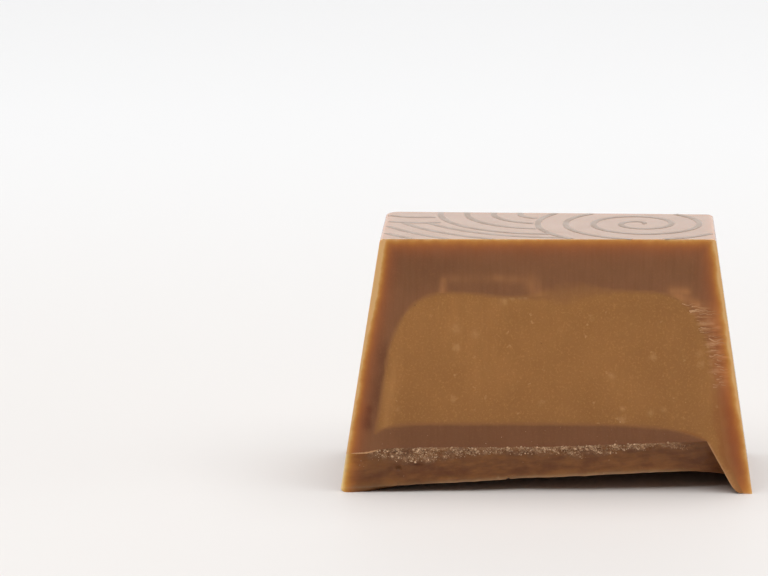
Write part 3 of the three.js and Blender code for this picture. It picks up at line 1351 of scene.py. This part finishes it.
def makeFilling():
    filling = copyOf(innerHalf, "praline_filling")
    carve(filling, baseMass, "DIFFERENCE")
    footX, footZ = closing["filmFoot"]
    cutAway(filling, (footX, 0, footZ), (-closing["filmFootSlope"], 0, -1))
    setSlots(filling, [nutPaste, nutPaste], cutFacing(0.9))
    gridCut(filling)
    # the edge mark holds the painted highlight on the film's free edge
    marks = {"blend": blendAt, "pale": paleAt, "spot": spotAt, "right": rightAt, "edge": filmEdgeHighlightAt}
    marks["stutter"] = stutterAt
    markCut(filling, marks, pitted=True)
    dropFilmFoot(filling)
    closeUp(filling)
    putIn(filling, "filling")


def makeBase():
    base = copyOf(innerHalf, "praline_base")
    carve(base, baseMass, "INTERSECT")
    cutAway(base, (0, 0, 0), (0, 0, -1))
    setSlots(base, chocolates, cutFacing(0.9))
    carve(base, brokenOff, "DIFFERENCE")
    gridCut(base)
    markCut(base, {"blend": blendAt, "shade": baseShadeAt})
    markTorn(base)
    closeUp(base)
    putIn(base, "base")


makeShell()
makeFilling()
makeBase()

for tool in (innerBlock, innerHalf, baseMass, brokenOff):
    bpy.data.objects.remove(tool, do_unlink=True)


# crumbs along the break's upper edge

crumbs = {
    "count": 3100,
    "small": 0.03 * mm,
    "large": 0.13 * mm,
    "sizeCurve": 3.2,  # most are small
    "flat": (0.55, 1.1),
    "jagged": (0.7, 1.15),
    "toneCurve": 1.6,
    "dull": (5.5 * mm, 8 * mm),  # less pale on the right
    "dullTone": 0.45,
    "along": (0.01, 0.95),  # shares of the break's length
    "lowest": 0.65,  # as a share of the torn face's height
    "clusters": (5.1, 0.6 * mm),
    "clusterRange": (-0.25, 0.35),
    "thin": 0.3,  # how thickly they lie between the clusters
    "sunk": 0.45,
    "strays": 24,
    "straysAlong": (-12 * mm, 9 * mm),
    "straysHigh": 1.8 * mm,
    "straysAcross": (0.05, 0.95),
    "straysDown": (0.1, 1),
    "seed": 41,
}


def makeCrumbs():
    draw = random.Random(crumbs["seed"])
    bpy.ops.object.select_all(action="DESELECT")
    bpy.ops.mesh.primitive_ico_sphere_add(subdivisions=1, radius=1)
    model = bpy.context.object
    verts = [vert.co.copy() for vert in model.data.vertices]
    faces = [tuple(face.vertices) for face in model.data.polygons]
    bpy.data.objects.remove(model)
    places, corners, tones = [], [], []

    def addCrumb(spot, size):
        flat = Vector([draw.uniform(*crumbs["flat"]) for axis in range(3)])
        turn = Euler([draw.uniform(0, math.tau) for axis in range(3)]).to_matrix()
        corners.extend([index + len(places) for index in face] for face in faces)
        jagged = crumbs["jagged"]
        places.extend([spot + turn @ (vert * flat * draw.uniform(*jagged)) * size for vert in verts])
        dull = mix(1, crumbs["dullTone"], ramp(spot.x, *crumbs["dull"]))
        tones.extend([dull * draw.random() ** crumbs["toneCurve"]] * len(verts))

    while len(tones) < crumbs["count"] * len(verts):
        spot, grainy = tornPoint(draw.uniform(*crumbs["along"]), crumbs["lowest"] * draw.random())
        cluster = ramp(roughness(spot.x, spot.z, *crumbs["clusters"]), *crumbs["clusterRange"])
        if draw.random() < grainy * grainy * max(cluster, crumbs["thin"]):
            size = mix(crumbs["small"], crumbs["large"], draw.random() ** crumbs["sizeCurve"])
            addCrumb(spot - cutNormal * crumbs["sunk"] * size, size)
    for i in range(crumbs["strays"]):
        x = draw.uniform(*crumbs["straysAlong"])
        addCrumb(onCut(x, breakEdge(x) + crumbs["straysHigh"] * draw.random() ** 2), crumbs["small"])
        spot = tornPoint(draw.uniform(*crumbs["straysAcross"]), draw.uniform(*crumbs["straysDown"]))[0]
        addCrumb(spot, crumbs["small"])
    piece = meshPiece("break_crumbs", places, corners, crumbChocolate)
    storeMark(piece, "tone", tones)
    putIn(piece)


makeCrumbs()


# thin raised lines, on the top and on the cut

def addRibbon(points, widths, up, places, corners, rise):
    # a flat strip along the points, half sunk in the surface that faces up
    first = len(places)
    for i, (point, width) in enumerate(zip(points, widths)):
        ahead = points[min(i + 1, len(points) - 1)] - points[max(i - 1, 0)]
        aside = up.cross(ahead).normalized() * width / 2
        for edge in (point - aside, point + aside):
            places.append(edge + up * rise)
            places.append(edge - up * rise)
    for i in range(len(points) - 1):
        a = first + 4 * i
        b = a + 4
        corners.append((a, b, b + 2, a + 2))
        corners.append((a + 1, a + 3, b + 3, b + 1))
        corners.append((a, a + 1, b + 1, b))
        corners.append((a + 2, b + 2, b + 3, a + 3))
    last = first + 4 * (len(points) - 1)
    corners.append((first, first + 2, first + 3, first + 1))
    corners.append((last, last + 1, last + 3, last + 2))


# hairlines where the blade stuttered along the right wall, and a burr on the break's left end
hairlines = {
    "from": 7.5 * mm,
    "to": 13.45 * mm,
    "spacing": (0.05 * mm, 0.3 * mm),
    "knots": (9.2 * mm, 11.4 * mm),  # drawn out above, mere knots below
    "start": (-0.3 * mm, 0.35 * mm),  # from the filling's edge
    "scatter": 0.5 * mm,  # knots lie further off
    "short": 0.55 * mm,
    "long": 1.9 * mm,
    "lengths": (0.35, 1),
    "rim": 0.3 * mm,  # they end before the rim
    "width": 0.085 * mm,
    "heavy": (0.25, 1.2),
    "taper": 0.75,
    "uneven": (6.1, 0.15 * mm, 0.6),
    "wave": (1.3, 0.45 * mm, 0.17 * mm),
    "fade": (0.8, 1),  # at the far end, for knots and for lines
    "knotFade": 0.65,
    "rise": 0.01 * mm,
    "points": 24,
    "seed": 7,
}
burr = {
    "from": -13.35 * mm,
    "to": -11.5 * mm,
    "width": 0.13 * mm,
    "arc": (0.1, 0.9),  # the part of a half wave that its width follows
    "uneven": (0.6, 1.2),
    "fade": 0.25,
}


def hairline(z, draw):
    drawn = ramp(z, *hairlines["knots"])
    start = boundaryX(z) + draw.uniform(*hairlines["start"])
    start += (1 - drawn) * hairlines["scatter"] * draw.random()
    length = mix(hairlines["short"], hairlines["long"], drawn) * draw.uniform(*hairlines["lengths"])
    length = min(length, outsideX(z) - hairlines["rim"] - start)
    heavy = draw.uniform(*hairlines["heavy"])
    for i in range(hairlines["points"]):
        share = i / (hairlines["points"] - 1)
        x = start + share * length
        lift = z + roughness(x, z, *hairlines["wave"])
        thin = (1 - hairlines["taper"] * share) * (1 + roughness(x, z, *hairlines["uneven"])) * heavy
        fade = max(mix(*hairlines["fade"], drawn) * share, hairlines["knotFade"] * (1 - drawn))
        yield onCut(x, lift), hairlines["width"] * thin, fade


def burrLine(draw):
    for i in range(hairlines["points"]):
        share = i / (hairlines["points"] - 1)
        x = mix(burr["from"], burr["to"], share)
        wide = math.sin(math.pi * mix(*burr["arc"], share)) * draw.uniform(*burr["uneven"])
        yield onCut(x, breakEdge(x)), burr["width"] * wide, burr["fade"]


def makeHairlines():
    draw = random.Random(hairlines["seed"])
    lines = [list(burrLine(draw))]
    z = hairlines["from"]
    while z < hairlines["to"]:
        lines.append(list(hairline(z, draw)))
        z += draw.uniform(*hairlines["spacing"])
    places, corners, fades = [], [], []
    for line in lines:
        points, widths, shares = zip(*line)
        addRibbon(points, widths, cutNormal, places, corners, hairlines["rise"])
        fades += [share for share in shares for corner in range(4)]
    piece = meshPiece("knife_hairlines", places, corners, scrapedLine)
    storeMark(piece, "fade", fades)
    closeUp(piece)
    putIn(piece)


makeHairlines()


# swirls printed on the top

swirls = {
    "lineWidth": 0.4 * mm,
    "taper": (-0.6 * mm, 1.2 * mm),  # thinner near the middle of a swirl
    "uneven": (0, 0.6 * mm, 0.12),
    "rise": 0.012 * mm,
    "sink": 0.15,  # each swirl lies this much lower than the one before it
    "margin": 0.06 * mm,
    "pointStep": 0.15 * mm,
    "fewest": 4,  # points in a run
}
# centres, radii and pitch in millimetres, and the turn they start at; each lies over the ones after it
swirlPlaces = [
    {"centre": (6.25, -0.1), "inner": 0.25, "outer": 7.3, "pitch": 1.92, "turn": -0.02},
    {"centre": (-0.6, 3.4), "inner": 0.3, "outer": 7.5, "pitch": 1.86, "turn": -0.1},
    {"centre": (-9.3, 5.5), "inner": 0.3, "outer": 6.0, "pitch": 2.0, "turn": -0.05},
    {"centre": (0.4, 5.4), "inner": 9.6, "outer": 16.0, "pitch": 1.5, "turn": 0.0},
]


def isOnTop(x, y):
    edge = mould["topEdge"][0] + swirls["margin"]
    sideways = abs(x) < outsideX(mould["height"]) - edge
    back = shellHigh[1] - mould["height"] * mould["draft"] - edge
    return sideways and cutY(x) + 2 * swirls["margin"] < y < back


def isUnder(x, y, above):
    # lines stop at the rim of a swirl that lies over them
    return any(math.dist((x / mm, y / mm), swirl["centre"]) < swirl["outer"] for swirl in above)


def swirlRuns(swirl, above):
    # a spiral as runs of points that stay on the top
    runs = [[]]
    radius = swirl["inner"] * mm
    angle = math.tau * swirl["turn"]
    while radius < swirl["outer"] * mm:
        x = swirl["centre"][0] * mm + radius * math.cos(angle)
        y = swirl["centre"][1] * mm + radius * math.sin(angle)
        if isOnTop(x, y) and not isUnder(x, y, above):
            runs[-1].append((Vector((x, y, mould["height"])), radius))
        elif runs[-1]:
            runs.append([])
        turned = swirls["pointStep"] / max(radius, swirls["pointStep"])
        angle += turned
        radius += swirl["pitch"] * mm * turned / math.tau
    return [run for run in runs if len(run) >= swirls["fewest"]]


def swirlWidth(point, radius):
    width = swirls["lineWidth"] * ramp(radius, *swirls["taper"])
    return width * (1 + roughness(point.x, point.y, *swirls["uneven"]))


def makeSwirls():
    places, corners = [], []
    for i, swirl in enumerate(swirlPlaces):
        for run in swirlRuns(swirl, swirlPlaces[:i]):
            widths = [swirlWidth(point, radius) for point, radius in run]
            points = [point for point, radius in run]
            rise = swirls["rise"] * (1 - swirls["sink"] * i)
            addRibbon(points, widths, Vector((0, 0, 1)), places, corners, rise)
    piece = meshPiece("top_swirls", places, corners, printedLine)
    closeUp(piece)
    putIn(piece)


makeSwirls()


# floor, light and camera

stage = {
    "floorSize": 3.0,
    "floorFront": (0.755, 0.73, 0.712, 1),
    "floorBack": (0.83, 0.83, 0.835, 1),
    "floorRough": 0.7,
    "paler": (0.0, 0.16),  # painted light: the floor is painted paler to the back
    "roomColour": (1, 0.99, 0.975, 1),
    "roomLight": 0.16,
    "camera": (3.106 * mm, -312.68 * mm, 77.9 * mm),
    "lookDown": math.radians(11.70),
    "lookAside": math.radians(2.66),
    "lens": 215.6,
    "sensor": 36,
    "clipStart": 0.01,
}
# place, aim, size and power
softboxes = {
    "top box": ((0.02, -0.12, 0.55), (0, -0.05, 0), (0.9, 0.7), 4.75),
    "back wall": ((0.0, 0.55, 0.17), (0, 0, 0.05), (1.3, 0.34), 1.6),
    "left wall": ((-0.45, 0.0, 0.2), (0, 0, 0.01), (0.4, 0.3), 0.4),
    "right wall": ((0.45, -0.05, 0.2), (0, 0, 0.01), (0.4, 0.3), 0.3),
}


def makeFloor():
    material, shader = newMaterial("pale floor")
    # painted light: paler to the back, darker in front
    back = addRange(axisPlace("Y"), *stage["paler"])
    colour = addMix(back, stage["floorFront"], stage["floorBack"])
    paint(shader, colour, stage["floorRough"])
    bpy.ops.object.select_all(action="DESELECT")
    bpy.ops.mesh.primitive_plane_add(size=stage["floorSize"], location=(0, 0, 0))
    floor = bpy.context.object
    floor.name = "floor"
    floor.data.materials.append(material)
    floor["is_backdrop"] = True


def addSoftbox(name, place, aim, size, power):
    lamp = bpy.data.lights.new(name, "AREA")
    lamp.shape = "RECTANGLE"
    lamp.size, lamp.size_y = size
    lamp.energy = power
    box = bpy.data.objects.new(name, lamp)
    box.location = place
    box.rotation_euler = (Vector(aim) - Vector(place)).to_track_quat("-Z", "Y").to_euler()
    box.visible_camera = False
    bpy.context.collection.objects.link(box)


def makeLight():
    world = bpy.data.worlds.new("white room")
    world.use_nodes = True
    room = world.node_tree.nodes["Background"]
    room.inputs["Color"].default_value = stage["roomColour"]
    room.inputs["Strength"].default_value = stage["roomLight"]
    bpy.context.scene.world = world
    for name, values in softboxes.items():
        addSoftbox(name, *values)


def makeCamera():
    lens = bpy.data.cameras.new("camera")
    lens.lens = stage["lens"]
    lens.sensor_width = stage["sensor"]
    lens.clip_start = stage["clipStart"]
    camera = bpy.data.objects.new("camera", lens)
    camera.location = stage["camera"]
    camera.rotation_euler = (math.pi / 2 - stage["lookDown"], 0, stage["lookAside"])
    bpy.context.collection.objects.link(camera)
    bpy.context.scene.camera = camera


makeFloor()
makeLight()
makeCamera()
bpy.context.scene.view_settings.view_transform = "Standard"

print("floor, light and camera set")

boxes = {"cad": cadBox, "visual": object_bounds()}
{name: [list(corner) for corner in box] for name, box in boxes.items()}
